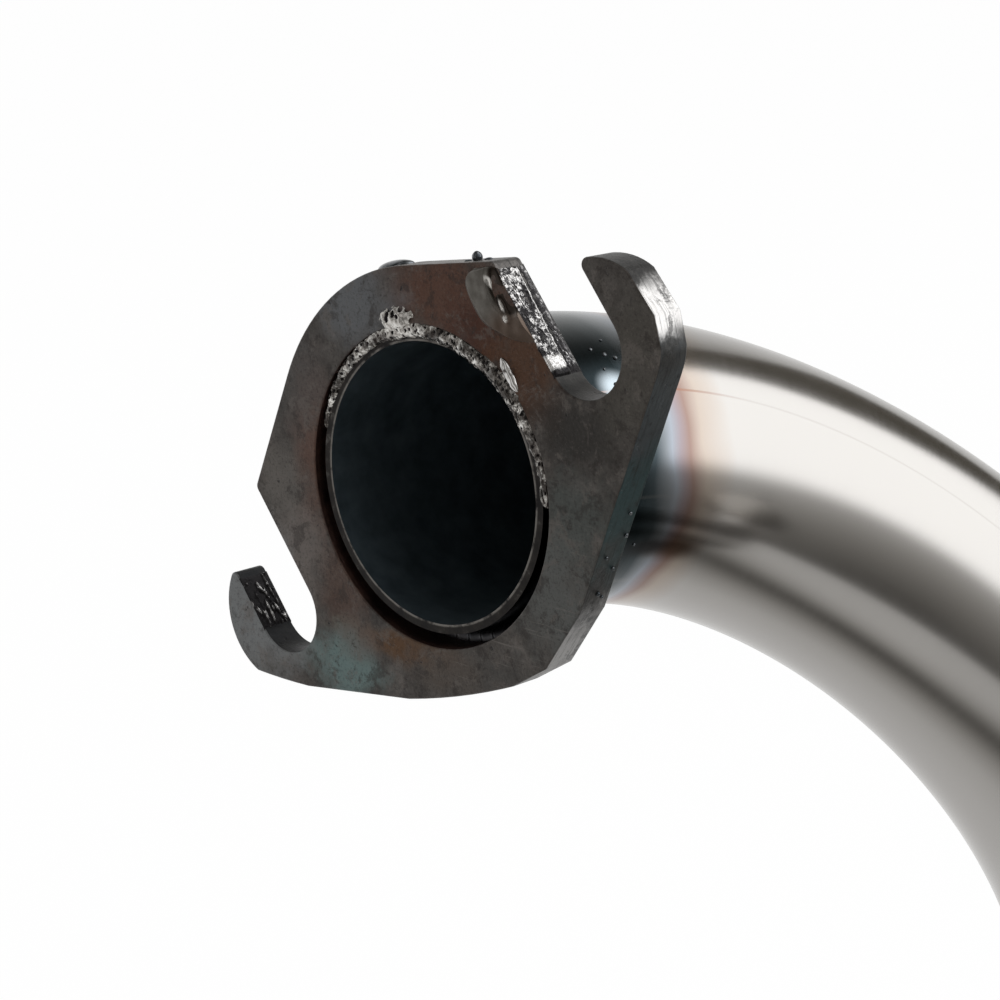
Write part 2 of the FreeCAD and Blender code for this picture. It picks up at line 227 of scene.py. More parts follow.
# %% Node helpers
class Nodes:
    """A node tree under construction: nodes are added with their inputs, and linked as they are made."""

    def __init__(self, tree):
        self.tree = tree

    def node(self, kind, inputs=(), **settings):
        """Adds a node; inputs maps an input's name or number to a value or to another node's output."""
        made = self.tree.nodes.new("ShaderNode" + kind)
        for key, value in settings.items():
            setattr(made, key, value)
        for key, value in dict(inputs).items():
            self.feed(made.inputs[key], value)
        return made

    def feed(self, socket, value):
        """Links an output to a socket, or sets the socket's own value."""
        if isinstance(value, bpy.types.NodeSocket):
            self.tree.links.new(value, socket)
        else:
            socket.default_value = value

    def ramp(self, value, *stops):
        """Colours along a value: each stop is (position, colour)."""
        made = self.node("ValToRGB", {"Fac": value})
        elements = made.color_ramp.elements
        while len(elements) < len(stops):
            elements.new(1.0)
        for element, (position, colour) in zip(elements, stops):
            element.position = position
            element.color = (*colour, 1)
        return made.outputs["Color"]

    def math(self, operation, first, second=0.0, third=0.0):
        """One sum on values."""
        return self.node("Math", {0: first, 1: second, 2: third}, operation=operation).outputs[0]

    def scaled(self, value, factor, offset):
        """A value times a factor, plus an offset."""
        return self.math("MULTIPLY_ADD", value, factor, offset)

    def vector(self, operation, first, second=(0, 0, 0), output="Vector"):
        """One sum on vectors."""
        return self.node("VectorMath", {0: first, 1: second}, operation=operation).outputs[output]

    def between(self, value, low, high):
        """0 below low, 1 above high and smooth between them."""
        inputs = {"Value": value, "From Min": low, "From Max": high}
        return self.node("MapRange", inputs, interpolation_type="SMOOTHSTEP").outputs["Result"]

    def mix(self, amount, first, second):
        """One colour over another."""
        made = self.node("Mix", data_type="RGBA")
        self.feed(made.inputs[0], amount)
        for socket, value in ((made.inputs[6], first), (made.inputs[7], second)):
            self.feed(socket, (*value, 1) if isinstance(value, tuple) else value)
        return made.outputs[2]

    def layered(self, colour, *layers):
        """Lays colours over a colour: each layer is (where, strength, colour)."""
        for where, strength, tint in layers:
            colour = self.mix(self.math("MULTIPLY", where, strength), colour, tint)
        return colour


class Finish(Nodes):
    """A material under construction, on the piece's own coordinates."""

    def __init__(self, name, metallic=1.0):
        self.material = bpy.data.materials.new(name)
        self.material.use_nodes = True
        super().__init__(self.material.node_tree)
        self.shader = self.tree.nodes["Principled BSDF"]
        self.shader.inputs["Metallic"].default_value = metallic
        coordinates = self.node("TexCoord").outputs
        self.place, self.facing = coordinates["Object"], coordinates["Normal"]

    def attribute(self, name, output="Fac"):
        """A number, or a vector, that is stored on the mesh."""
        return self.node("Attribute", attribute_name=name).outputs[output]

    def stretched(self, scale, place=None, turn=(0, 0, 0)):
        """Coordinates scaled, and turned, for a pattern."""
        inputs = {"Vector": place or self.place, "Scale": scale, "Rotation": turn}
        return self.node("Mapping", inputs).outputs["Vector"]

    def noise(self, scale, detail=4.0, place=None, roughness=0.55, distortion=0.0):
        """A soft cloud pattern from 0 to 1."""
        inputs = {"Vector": place or self.place, "Scale": scale, "Detail": detail}
        inputs.update({"Roughness": roughness, "Distortion": distortion})
        return self.node("TexNoise", inputs).outputs["Fac"]

    def near(self, centre, reach, soft, wobble=None):
        """1 inside an ellipsoid round a place, fading out; wobble roughens its rim."""
        scaled = self.vector("DIVIDE", self.vector("SUBTRACT", self.place, centre), reach)
        far = self.vector("LENGTH", scaled, output="Value")
        if wobble is not None:
            far = self.math("ADD", far, wobble)
        return self.between(far, 1.0 + soft, 1.0 - soft)

    def done(self, colour, roughness, *heights):
        """Connects colour, roughness and bump over bump: each height is (pattern, distance, strength)."""
        self.feed(self.shader.inputs["Base Color"], colour)
        self.feed(self.shader.inputs["Roughness"], roughness)
        socket = self.shader.inputs["Normal"]
        for pattern, distance, strength in reversed(heights):
            relief = self.node("Bump", {"Height": pattern, "Distance": distance, "Strength": strength})
            self.feed(socket, relief.outputs["Normal"])
            socket = relief.inputs["Normal"]
        return self.material

    def surface(self, shader):
        """Puts another shader in the place of the Principled one."""
        self.tree.nodes.remove(self.shader)
        self.feed(self.tree.nodes["Material Output"].inputs["Surface"], shader)
        return self.material


# %% [markdown]
# ## Flange steel
#
# The flange is torch-cut mild steel that has been hot. Its scale is grey-brown, with rust-red where it was
# hottest above the bore, a straw-brown edge under the bore, and blue or teal films where it cooled. Soft
# ellipsoids placed on the plate carry those tints, and noise breaks their rims so that none of them reads as
# a painted spot.


# %% Flange finish
face_tints = [
    # centre on the plate and reach, both as x and z in millimetres, then colour and strength
    ((2.6, 20.8), (8.5, 4.2), (0.095, 0.042, 0.026), 0.88),
    ((7.6, 17.8), (3.6, 2.8), (0.06, 0.02, 0.011), 0.88),
    ((14.2, 14.6), (5.0, 5.5), (0.08, 0.034, 0.015), 0.85),
    ((-17.3, 3.0), (2.8, 9.0), (0.115, 0.06, 0.043), 0.75),
    ((-13.0, -13.0), (4.0, 5.0), (0.085, 0.042, 0.028), 0.6),
    ((-19.9, -11.0), (3.6, 4.5), (0.16, 0.138, 0.127), 0.75),
    ((-23.0, -3.0), (3.0, 3.5), (0.135, 0.124, 0.113), 0.7),
    ((-4.0, -18.3), (9.5, 1.5), (0.1, 0.045, 0.014), 0.85),
    ((3.3, -19.5), (5.0, 2.2), (0.1, 0.068, 0.048), 0.7),
    ((-11.0, 18.6), (6.5, 4.2), (0.122, 0.129, 0.138), 0.9),
    ((-18.5, 10.0), (3.5, 6.5), (0.075, 0.074, 0.073), 0.6),
    ((-12.8, -22.3), (5.0, 3.6), (0.13, 0.19, 0.187), 0.95),
    ((-10.2, -18.6), (3.0, 2.0), (0.12, 0.1, 0.09), 0.6),
    ((-27.5, -19.0), (7.0, 8.0), (0.178, 0.188, 0.193), 0.9),
    ((20.5, 9.6), (5.5, 4.0), (0.024, 0.022, 0.02), 0.8),
    ((20.7, 0.0), (4.0, 5.0), (0.068, 0.078, 0.074), 0.75),
    ((18.0, -8.5), (4.5, 6.0), (0.1, 0.105, 0.102), 0.85),
    ((8.0, -19.5), (9.0, 3.0), (0.074, 0.072, 0.069), 0.6),
    ((27.0, 17.0), (4.0, 7.0), (0.072, 0.066, 0.056), 0.65),
]
wall_tints = [
    ((0.5, 23.6), (12.5, 2.2), (0.15, 0.14, 0.133), 0.9),
    ((23.0, 14.5), (4.5, 3.5), (0.028, 0.026, 0.024), 0.9),
    ((28.5, 12.0), (4.0, 8.0), (0.05, 0.06, 0.066), 0.8),
    ((25.5, 2.0), (4.0, 6.0), (0.026, 0.056, 0.059), 0.85),
    ((30.6, 23.0), (3.2, 2.4), (0.62, 0.61, 0.6), 0.95),
    ((17.0, -14.5), (7.0, 4.6), (0.3, 0.295, 0.29), 0.85),
    ((-26.0, -17.0), (7.5, 6.5), (0.012, 0.013, 0.015), 0.95),
]


def flange_finish():
    steel = Finish("flange_scale", metallic=0.75)
    cloud = steel.noise(300, 9, roughness=0.72)
    fine = steel.noise(2700, 6, roughness=0.72)
    wobble = steel.scaled(steel.noise(210, 6, roughness=0.65), 2.6, -1.3)

    def spots(tints):
        """Soft spots on the plate, as layers of colour."""
        for (x, z), (wide, tall), tint, strength in tints:
            centre, reach = (x * MM, 0.002, z * MM), (wide * MM, 0.02, tall * MM)
            yield steel.near(centre, reach, 0.6, wobble), strength, tint

    scale_colours = [(0.32, (0.025, 0.021, 0.019)), (0.45, (0.062, 0.055, 0.05))]
    scale_colours += [(0.57, (0.085, 0.077, 0.071)), (0.7, (0.155, 0.14, 0.13))]
    blotches = steel.between(steel.noise(330, 10, roughness=0.76, distortion=0.3), 0.475, 0.4)
    bloom = steel.between(steel.noise(300, 9, roughness=0.76, distortion=0.5), 0.53, 0.61)
    scratch_place = steel.stretched((150, 150, 4200), turn=(0, math.radians(-40), 0))
    scratches = steel.between(steel.noise(1.0, 2, scratch_place), 0.6, 0.75)
    scratched = steel.near((0.015, 0.0, -0.013), (0.014, 0.02, 0.012), 0.7, wobble)
    pits = steel.between(steel.noise(800, 3), 0.335, 0.27)
    face_colour = steel.layered(
        steel.ramp(cloud, *scale_colours),
        *spots(face_tints),
        (blotches, 0.55, (0.022, 0.017, 0.015)),
        (bloom, 0.5, (0.125, 0.11, 0.1)),
        (steel.between(fine, 0.48, 0.38), 0.4, (0.018, 0.015, 0.014)),
        (steel.between(fine, 0.56, 0.66), 0.22, (0.19, 0.165, 0.148)),
        (scratches, steel.scaled(scratched, 0.4, 0.08), (0.2, 0.185, 0.17)),
        (pits, 0.8, (0.012, 0.011, 0.011)),
    )
    saw_lines = steel.noise(1.0, 6, steel.stretched((230, 3400, 230)), roughness=0.7)
    bore = steel.near((0, 0, 0), (0.0176, 10, 0.0176), 0.004)
    bore_rust = steel.ramp(cloud, (0.35, (0.028, 0.016, 0.014)), (0.65, (0.085, 0.042, 0.032)))
    wall_colour = steel.layered(
        steel.ramp(cloud, (0.3, (0.013, 0.013, 0.013)), (0.7, (0.05, 0.048, 0.045))),
        *spots(wall_tints),
        (steel.between(saw_lines, 0.5, 0.36), 0.6, (0.012, 0.013, 0.013)),
        (blotches, 0.7, (0.012, 0.012, 0.012)),
        (bore, 1.0, bore_rust),
    )
    towards_lens = steel.node("SeparateXYZ", {"Vector": steel.facing}).outputs["Y"]
    on_wall = steel.between(steel.math("ABSOLUTE", towards_lens), 0.6, 0.35)
    gloss = steel.node("MapRange", {"Value": cloud, "To Min": 0.32, "To Max": 0.55}).outputs["Result"]
    return steel.done(
        steel.mix(on_wall, face_colour, wall_colour),
        gloss,
        (fine, 0.00006, 0.45),
        (cloud, 0.0002, 0.55),
        (pits, -0.00008, 0.6),
        (steel.math("MULTIPLY", saw_lines, on_wall), 0.00006, 0.35),
    )


# %% Flange plate
ground_facets = [
    # degrees of the facet's outward direction from the X axis, and how deep it was ground
    (42, 0.45),
    (16, 0.25),
    (-33, 0.3),
    (-58, 0.45),
]


def grind(piece, degrees, depth):
    """Grinds a flat facet on the plate's outline."""
    turn = math.radians(degrees)
    way = Vector((math.cos(turn), 0, math.sin(turn)))
    reach = max(vertex.co.dot(way) for vertex in piece.data.vertices)
    with editing(piece):
        bpy.ops.mesh.bisect(
            plane_co=way * (reach - depth * MM), plane_no=way, clear_outer=True, use_fill=True
        )


flange_plate = plain_copy("inlet_flange", "flange_plate")
for degrees, depth in ground_facets:
    grind(flange_plate, degrees, depth)
break_edges(flange_plate, 0.2 * MM)
finish_piece(flange_plate, flange_finish(), "flange_steel", "inlet_flange")

# %% [markdown]
# ## The header pipe
#
# A mandrel-bent tube is a circle carried along its centre line. By hand that is a circle, extruded for the
# straight stretches and spun for the bends, so the ring of vertices stays square to the tube. Each vertex
# also remembers where it lay on the straight tube before bending, which lets the grain and the heat tint
# follow the pipe.

# %% Header centre line
pipe_radius = 16.0 * MM
pipe_wall = 1.0 * MM
mouth = Vector((0.0, 0.5, 0.35)) * MM
stub_end = Vector((0.0, 10.6, 0.35)) * MM
bend_radius = 48.0 * MM
first_turn = math.radians(115.0)
header_slope = math.radians(37.1)
run_length = 40.0 * MM
along_pipe = Vector((0, 1, 0))
along_silencer = Vector((1, 0, 0))
sideways = Vector((math.cos(header_slope), 0, -math.sin(header_slope)))
run_direction = along_pipe * math.cos(first_turn) + sideways * math.sin(first_turn)
second_turn = math.acos(run_direction.dot(along_silencer))


def past_bend(centre, way, inward, turn):
    """Where a tube leaves a bend that it entered along a way, bending inward round a centre."""
    return centre + (way * math.sin(turn) - inward * math.cos(turn)) * bend_radius


first_centre = stub_end + sideways * bend_radius
run_start = past_bend(first_centre, along_pipe, sideways, first_turn)
run_end = run_start + run_direction * run_length
inward = (along_silencer - run_direction * math.cos(second_turn)).normalized()
second_centre = run_end + inward * bend_radius
bend_exit = past_bend(second_centre, run_direction, inward, second_turn)
header_end_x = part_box("header_pipe")[1].x
print("second bend", round(math.degrees(second_turn), 1), "degrees")


# %% Header tube
ring_count = 112
first_steps, second_steps = 120, 50


def extrude(way):
    """Extrudes the selected ring."""
    bpy.ops.mesh.extrude_region_move(TRANSFORM_OT_translate={"value": way})


def header_tube():
    """The tube's outer skin: every ring of the tube is the next ring_count vertices."""
    tube = started(
        bpy.ops.mesh.primitive_circle_add, "header_tube",
        vertices=ring_count, radius=pipe_radius, location=mouth, rotation=(math.radians(90), 0, 0),
    )
    settle(tube)
    first_axis, second_axis = along_pipe.cross(sideways), run_direction.cross(inward)
    with editing(tube):
        extrude(stub_end - mouth)
        bpy.ops.mesh.spin(steps=first_steps, angle=-first_turn, center=first_centre, axis=first_axis)
        extrude(run_direction * run_length)
        bpy.ops.mesh.spin(steps=second_steps, angle=-second_turn, center=second_centre, axis=second_axis)
        extrude(Vector((header_end_x - bend_exit.x, 0, 0)))
    return tube


def remember_straight_tube(tube):
    """Stores where each vertex lay before bending: round the section, and along the tube."""
    store = tube.data.attributes.new("straight_tube", "FLOAT_VECTOR", "POINT")
    places = [vertex.co.copy() for vertex in tube.data.vertices]
    length = 0.0
    last_centre = mouth
    for first in range(0, len(places), ring_count):
        ring = places[first:first + ring_count]
        centre = sum(ring, Vector()) / ring_count
        length += (centre - last_centre).length
        last_centre = centre
        for number in range(ring_count):
            angle = math.tau * number / ring_count
            round_tube = (pipe_radius * math.cos(angle), pipe_radius * math.sin(angle), length)
            store.data[first + number].vector = round_tube
    end = [round(value / MM, 2) for value in last_centre]
    print("header tube", round(length / MM, 1), "mm long, ends at", end)


header = header_tube()
remember_straight_tube(header)
clean_up(header)

# %% [markdown]
# ## Satin stainless with heat tint
#
# Welding at the flange has coloured the first three centimetres of the pipe: blue, purple and brown bands
# that end in pale straw. Behind the plate the first bands are also darkened as painted shade. Further on the
# steel is clean and satin. The tint is a ramp along the straight tube, its rim moved a little by noise. The
# grain is noise drawn out round the tube, as a polishing belt leaves it.

# %% Header finish
clean_steel = (0.375, 0.364, 0.35)
heat_and_shade_colours = [
    # millimetres along the tube, and the colour that the weld's heat left there; the first two stops are also
    # darkened as painted shade where the plate shades the pipe
    (10, (0.006, 0.01, 0.012)),
    (16.2, (0.012, 0.02, 0.023)),
    (18.9, (0.042, 0.054, 0.06)),
    (20.8, (0.15, 0.165, 0.178)),
    (22.0, (0.225, 0.245, 0.275)),
    (23.4, (0.22, 0.188, 0.2)),
    (25.0, (0.215, 0.15, 0.13)),
    (27.2, (0.335, 0.29, 0.252)),
    (31.5, clean_steel),
]
pipe_stains_and_highlight = [
    # middle and reach in millimetres, and colour: rust, soot and a painted highlight
    ((15.8, 21.2, -7.7), (1.6, 3.2, 1.3), (0.075, 0.042, 0.026)),
    ((15.0, 17.8, -7.0), (1.4, 2.8, 1.1), (0.014, 0.014, 0.015)),
    # a painted highlight: the softbox's pale blue reflection on the pipe behind the slot, laid in as colour
    ((12.7, 15.2, 10.3), (1.6, 1.8, 1.5), (0.4, 0.46, 0.5)),
]
# Where the tube's own seam lies, in degrees from its top
seam_angle = -52.5


def header_finish():
    steel = Finish("header_stainless")
    tube = steel.attribute("straight_tube", "Vector")
    parts = steel.node("SeparateXYZ", {"Vector": tube}).outputs
    along = parts["Z"]
    drift = steel.scaled(steel.noise(60, 2), 0.009, -0.0045)
    first, last = heat_and_shade_colours[0][0], heat_and_shade_colours[-1][0]
    inputs = {"Value": steel.math("ADD", along, drift), "From Min": first * MM, "From Max": last * MM}
    heat = steel.node("MapRange", inputs).outputs["Result"]
    # the ramp holds the heat tint, and painted shade in its first stops behind the plate
    colour = steel.ramp(heat, *[((at - first) / (last - first), tint) for at, tint in heat_and_shade_colours])
    angle = steel.math("ARCTAN2", parts["Y"], parts["X"])
    off_seam = steel.math("ABSOLUTE", steel.math("SUBTRACT", angle, math.radians(seam_angle)))
    seam = steel.between(off_seam, 0.013, 0.003)
    near_flange = steel.between(along, 0.036, 0.024)
    seam_tint = steel.mix(near_flange, (0.3, 0.288, 0.272), (0.22, 0.115, 0.08))
    # rust and soot stains, and one painted highlight
    stains_and_highlight = [
        (steel.near(Vector(spot) * MM, Vector(reach) * MM, 0.7), 0.85, tint)
        for spot, reach, tint in pipe_stains_and_highlight
    ]
    grain = steel.noise(1.0, 3, steel.stretched((60, 60, 2600), tube))
    hairs = steel.between(steel.noise(1.0, 2, steel.stretched((900, 900, 24), tube)), 0.66, 0.75)
    colour = steel.layered(
        colour,
        (seam, steel.scaled(near_flange, 0.35, 0.35), seam_tint),
        *stains_and_highlight,
        (hairs, 0.12, (0.25, 0.24, 0.23)),
    )
    haze = steel.scaled(steel.noise(70, 4), 0.1, 0.11)
    return steel.done(colour, steel.scaled(grain, 0.05, haze), (grain, 0.00001, 0.35), (seam, 0.00003, 0.4))


def soot_finish():
    soot = Finish("header_soot", metallic=0.6)
    cloud = soot.noise(300, 5)
    colour = soot.ramp(cloud, (0.3, (0.035, 0.05, 0.06)), (0.7, (0.075, 0.1, 0.115)))
    return soot.done(colour, 0.5, (cloud, 0.00006, 0.5))


def rim_finish():
    """The tube's sawn end: burnt dark, with a painted highlight along its inner edge, broken up by noise."""
    rim = Finish("header_rim", metallic=0.8)
    cloud = rim.noise(480, 5, roughness=0.7)
    burnt = [(0.4, (0.008, 0.007, 0.007)), (0.6, (0.02, 0.017, 0.015)), (0.72, (0.09, 0.085, 0.08))]
    lit_inner_edge = rim.near(mouth, (0.01522, 10, 0.01522), 0.006)
    highlight_breakup = rim.between(cloud, 0.38, 0.56)
    # painted highlight: a thin light line on the inner edge, where it catches the light
    colour = rim.layered(rim.ramp(cloud, *burnt), (lit_inner_edge, highlight_breakup, (0.17, 0.16, 0.148)))
    return rim.done(colour, 0.38, (cloud, 0.00008, 0.5))


for material in (header_finish(), soot_finish(), rim_finish()):
    header.data.materials.append(material)
wall = {"thickness": pipe_wall, "offset": -1, "use_even_offset": True}
apply_modifier(header, "SOLIDIFY", material_offset=1, material_offset_rim=2, **wall)
bpy.ops.object.shade_smooth_by_angle(angle=math.radians(40))
attach(header, "pipe_stainless", "header_pipe")

# %% [markdown]
# ## The weld in the mouth
#
# On the upper side a rough bead of weld joins pipe and flange. Gas blew it full of pores while it was liquid.
# A ring spun round the bore gives the bead its body. Its width then follows a few stations round the bore,
# Voronoi cells sink the pores, and the depth of each pore is kept as an attribute, so that the finish can
# paint shade into it.

# %% Pores
bore_radius = 17.15 * MM


def smooth_step(low, high, value):
    """0 at low, 1 at high and smooth between them; low may be the larger one."""
    share = min(1.0, max(0.0, (value - low) / (high - low)))
    return share * share * (3 - 2 * share)


def bump(value, centre, width):
    """A smooth hill of height 1."""
    return math.exp(-(((value - centre) / width) ** 2))


def pore(place, size, threshold, wide):
    """How deep a place lies in a pore, from 0 to 1; the threshold thins the pores out, wide opens them."""
    cell = place / size
    distances, points = noise.voronoi(cell)
    chance = noise.cell(points[0] * 7.3)
    if chance < threshold:
        return 0.0
    return smooth_step(wide, wide - 0.16, distances[0])


def sink_pores(piece, size, depth, threshold, lump, lump_size, wide=0.48):
    """Adds lumps and pores along the normals, in millimetres, and stores each vertex's depth in a pore."""
    mesh = piece.data
    normals = [vertex.normal.copy() for vertex in mesh.vertices]
    depths = []
    for vertex, normal in zip(mesh.vertices, normals):
        deep = pore(vertex.co, size * MM, threshold, wide)
        place = vertex.co / (lump_size * MM)
        swell = noise.noise(place) + 0.5 * noise.noise(place * 2.3)
        depths.append(deep)
        vertex.co += normal * (lump * MM * swell - depth * MM * deep)
    remember(piece, "pore", depths)
    mesh.update()
    pick(piece)
    bpy.ops.object.shade_smooth()


# %% Mouth bead
bead_stations = [
    # degrees round the bore, radius of the bead's middle, half its width, its crown's height over the face
    (3, 16.5, 0.3, -0.3),
    (14, 16.5, 0.6, -0.05),
    (28, 16.4, 0.9, 0.12),
    (40, 16.5, 1.3, 0.3),
    (54, 16.6, 1.45, 0.35),
    (66, 16.4, 1.15, 0.3),
    (80, 16.45, 1.05, 0.24),
    (92, 16.55, 1.0, 0.2),
    (104, 16.6, 1.0, 0.15),
    (116, 16.65, 0.9, 0.05),
    (132, 16.6, 0.82, -0.08),
    (150, 16.5, 0.7, -0.2),
    (166, 16.35, 0.5, -0.4),
]
bead_ring = 40
bead_steps = 420
blank_turn = math.radians(-150)


def at_station(stations, at):
    """The values between two stations, on a smooth curve through all of them."""
    last = len(stations) - 2
    number = next((number for number in range(last) if at <= stations[number + 1][0]), last)
    start, end = stations[number][0], stations[number + 1][0]
    share = min(1.0, max(0.0, (at - start) / (end - start)))
    four = [stations[min(max(number + step, 0), last + 1)][1:] for step in (-1, 0, 1, 2)]
    values = []
    for before, first, second, after in zip(*four):
        bend = 2 * before - 5 * first + 4 * second - after
        twist = 3 * first - before - 3 * second + after
        values.append(first + 0.5 * share * (second - before + share * (bend + share * twist)))
    return values


def bead_blank(name, ring, steps):
    """A closed tube of rings that follow each other in the list of vertices, ready to lie along a seam."""
    circle = {"vertices": ring, "radius": MM, "location": (bore_radius, 0, 0)}
    blank = started(bpy.ops.mesh.primitive_circle_add, name, **circle)
    settle(blank)
    with editing(blank):
        bpy.ops.mesh.spin(steps=steps, angle=blank_turn, center=(0, 0, 0), axis=(0, -1, 0))
        bpy.ops.mesh.select_all(action="SELECT")
        bpy.ops.mesh.fill_holes(sides=0)
    return blank


def mouth_bead():
    """A bead round the bore, with its width and its crown given station by station."""
    first, last = bead_stations[0][0], bead_stations[-1][0]
    bead = bead_blank("mouth_bead", bead_ring, bead_steps)
    for vertex in bead.data.vertices:
        step, number = divmod(vertex.index, bead_ring)
        degrees = first + (last - first) * step / bead_steps
        middle, half, crown = at_station(bead_stations, degrees)
        turn = math.radians(degrees)
        round_bead = math.tau * number / bead_ring
        wander = 0.25 * half * noise.noise(Vector((degrees * 0.16, 3.1, 0)))
        radius = middle + wander + half * math.cos(round_bead)
        depth = max(half, 0.5) - crown - max(half, 0.5) * math.sin(round_bead)
        vertex.co = Vector((radius * math.cos(turn), depth, radius * math.sin(turn))) * MM
    clean_up(bead)
    return bead


bead = mouth_bead()
sink_pores(bead, 0.46, 0.2, 0.1, 0.13, 0.55, 0.5)

# %% Sponge at the bead's end, the curl where it stops and the smear beside it


def weld_lump(blank, scale, turn, place, *pores):
    """Shapes a blank into a lump of weld metal; its turn is in degrees and its place in millimetres."""
    set_down(blank, scale, [math.radians(degrees) for degrees in turn], Vector(place) * MM)
    sink_pores(blank, *pores)
    return blank


def weld_sponge():
    """The swollen, porous end of the bead."""
    ball = started(bpy.ops.mesh.primitive_ico_sphere_add, "weld_sponge", subdivisions=6, radius=MM)
    pores = (0.78, 0.34, 0.0, 0.22, 1.1, 0.6)
    return weld_lump(ball, (2.7, 0.7, 1.35), (0, -13, 0), (-4.3, 0.2, 17.3), *pores)


def weld_curl():
    """A thin loop of metal that froze where the bead stops."""
    loop = {"major_segments": 48, "minor_segments": 14, "major_radius": 0.8 * MM, "minor_radius": 0.17 * MM}
    ring = started(bpy.ops.mesh.primitive_torus_add, "weld_curl", **loop)
    pores = (0.5, 0.03, 0.5, 0.06, 0.6)
    return weld_lump(ring, (0.55, 1.35, 1), (90, -8, 0), (16.35, 0.3, 2.2), *pores)


def weld_smear():
    """A smooth, bright lick of metal beside the bead."""
    ball = started(bpy.ops.mesh.primitive_ico_sphere_add, "weld_smear", subdivisions=5, radius=MM)
    pores = (0.9, 0.0, 1.0, 0.12, 1.1)
    return weld_lump(ball, (0.6, 0.5, 2.0), (0, -36, 0), (11.75, 0.08, 13.75), *pores)


# %% Weld finish


def bright_weld_finish():
    """Bare weld metal that shines, with painted shade in its pores."""
    weld = Finish("bright_weld", metallic=0.85)
    cloud = weld.noise(900, 4)
    metal = [(0.36, (0.05, 0.045, 0.04)), (0.5, (0.32, 0.3, 0.28)), (0.62, (0.8, 0.79, 0.76))]
    clean = weld.near((-0.0043, 0, 0.0176), (0.0034, 0.01, 0.0022), 0.3)
    stain = weld.between(weld.noise(760, 5, roughness=0.7), 0.43, 0.55)
    colour = weld.layered(
        weld.ramp(cloud, *metal),
        (weld.math("SUBTRACT", stain, clean), 0.85, (0.03, 0.025, 0.022)),
        (clean, 0.6, (0.62, 0.6, 0.57)),
        # painted shade: the deeper a place lies in a pore, the darker
        (weld.between(weld.attribute("pore"), 0.1, 0.6), 1.0, (0.012, 0.01, 0.01)),
    )
    return weld.done(colour, weld.scaled(cloud, 0.2, 0.06), (weld.noise(1700, 4), 0.00012, 0.7))


bright_weld = bright_weld_finish()
finish_piece(bead, bright_weld, "weld_metal", "mouth_weld")
for piece in (weld_sponge(), weld_curl()):
    finish_piece(piece, bright_weld, "weld_metal")
lick = Finish("smooth_weld")
lick_colour = lick.ramp(lick.noise(700, 3), (0.38, (0.1, 0.09, 0.085)), (0.52, (0.62, 0.61, 0.6)))
finish_piece(weld_smear(), lick.done(lick_colour, 0.14), "weld_metal")

# %% [markdown]
# ## The torch-cut slots
#
# The stud slots were cut open by hand with a torch. The inner wall of the upper slot kept a crust of frozen
# steel: bright splashes with black gaps, and a ridge along its middle where two cuts met. The lower hook has
# a darker wall with a few glossy runs. A fine grid laid on the wall and pushed out by noise follows that
# crust, and a closed underside sinks into the plate.

# %% Slot walls
stud_line_tilt = math.radians(39.0)
along_studs = Vector((math.cos(stud_line_tilt), 0, math.sin(stud_line_tilt)))
slot_way = Vector((-math.sin(stud_line_tilt), 0, math.cos(stud_line_tilt)))
plate_thickness = 4.0 * MM
sheet_sink = 0.3 * MM


def close_below(sheet):
    """Gives a sheet that lies on the plate a closed underside, sunk into the plate."""
    apply_modifier(sheet, "SOLIDIFY", thickness=sheet_sink, offset=-1)
    bpy.ops.object.shade_smooth()


def wall_crust(name, station, start, end, columns, rows, crust_at):
    """A sheet on a slot's wall, its columns along the slot; crust_at gives a place's crust tone and its rise.
    """
    grid = started(
        bpy.ops.mesh.primitive_grid_add, name, x_subdivisions=columns, y_subdivisions=rows, size=1
    )
    crust_tones = []
    for vertex in grid.data.vertices:
        across = start + (end - start) * (vertex.co.x + 0.5)
        through = plate_thickness * (vertex.co.y + 0.5)
        place = along_studs * station + slot_way * across + Vector((0, through, 0))
        across = place.dot(slot_way)
        inner = smooth_step(0, 0.35 * MM, min(across - start, end - across))
        inner *= smooth_step(0, 0.3 * MM, min(place.y, plate_thickness - place.y))
        crust_tone, rise = crust_at(across / MM, place.y / MM)
        crust_tones.append(crust_tone)
        vertex.co = place + along_studs * (rise * MM * inner - 0.02 * MM)
    remember(grid, "crust_tone", crust_tones)
    grid.data.flip_normals()
    return grid


def splashed(across, through):
    """Splashed crust: bright between its cracks and at the slot's bare foot, with a painted highlight along
    its ridge and a painted shadow line just behind it.
    """
    streak = Vector((across * 0.8, through * 1.25, 1.7))
    cracks = smooth_step(0.13, 0.02, abs(noise.noise(streak * 1.5)))
    cracks = max(cracks, 0.8 * smooth_step(0.16, 0.03, abs(noise.noise(streak * 3.4))))
    patch = smooth_step(0.05, 0.45, noise.noise(streak * 0.75 + Vector((4, 0, 0))))
    lumps = noise.fractal(streak * 2.0, 0.7, 2.1, 4)
    level = through - 0.05 * across
    ridge = bump(level, 2.05, 0.14)
    bare = smooth_step(2.7, 1.9, across) * smooth_step(2.6, 1.8, through)
    behind = smooth_step(2.0, 2.6, level)
    crust_tone = 0.76 - 0.6 * cracks - 0.6 * patch + 0.36 * lumps - 0.28 * behind
    # painted highlight on the ridge, and a painted shadow line just behind it
    crust_tone = max(crust_tone, 0.85 * ridge) - 0.5 * bump(level, 2.45, 0.13)
    crust_tone = crust_tone * (1 - bare) + 0.95 * bare
    back = smooth_step(3.1, 3.5, through)
    crust_tone = crust_tone * (1 - back) + 0.5 * back
    rise = 0.04 + 0.1 * crust_tone + 0.08 * lumps + 0.1 * ridge + 0.14 * bare
    return crust_tone * smooth_step(0.0, 1.1, across), rise


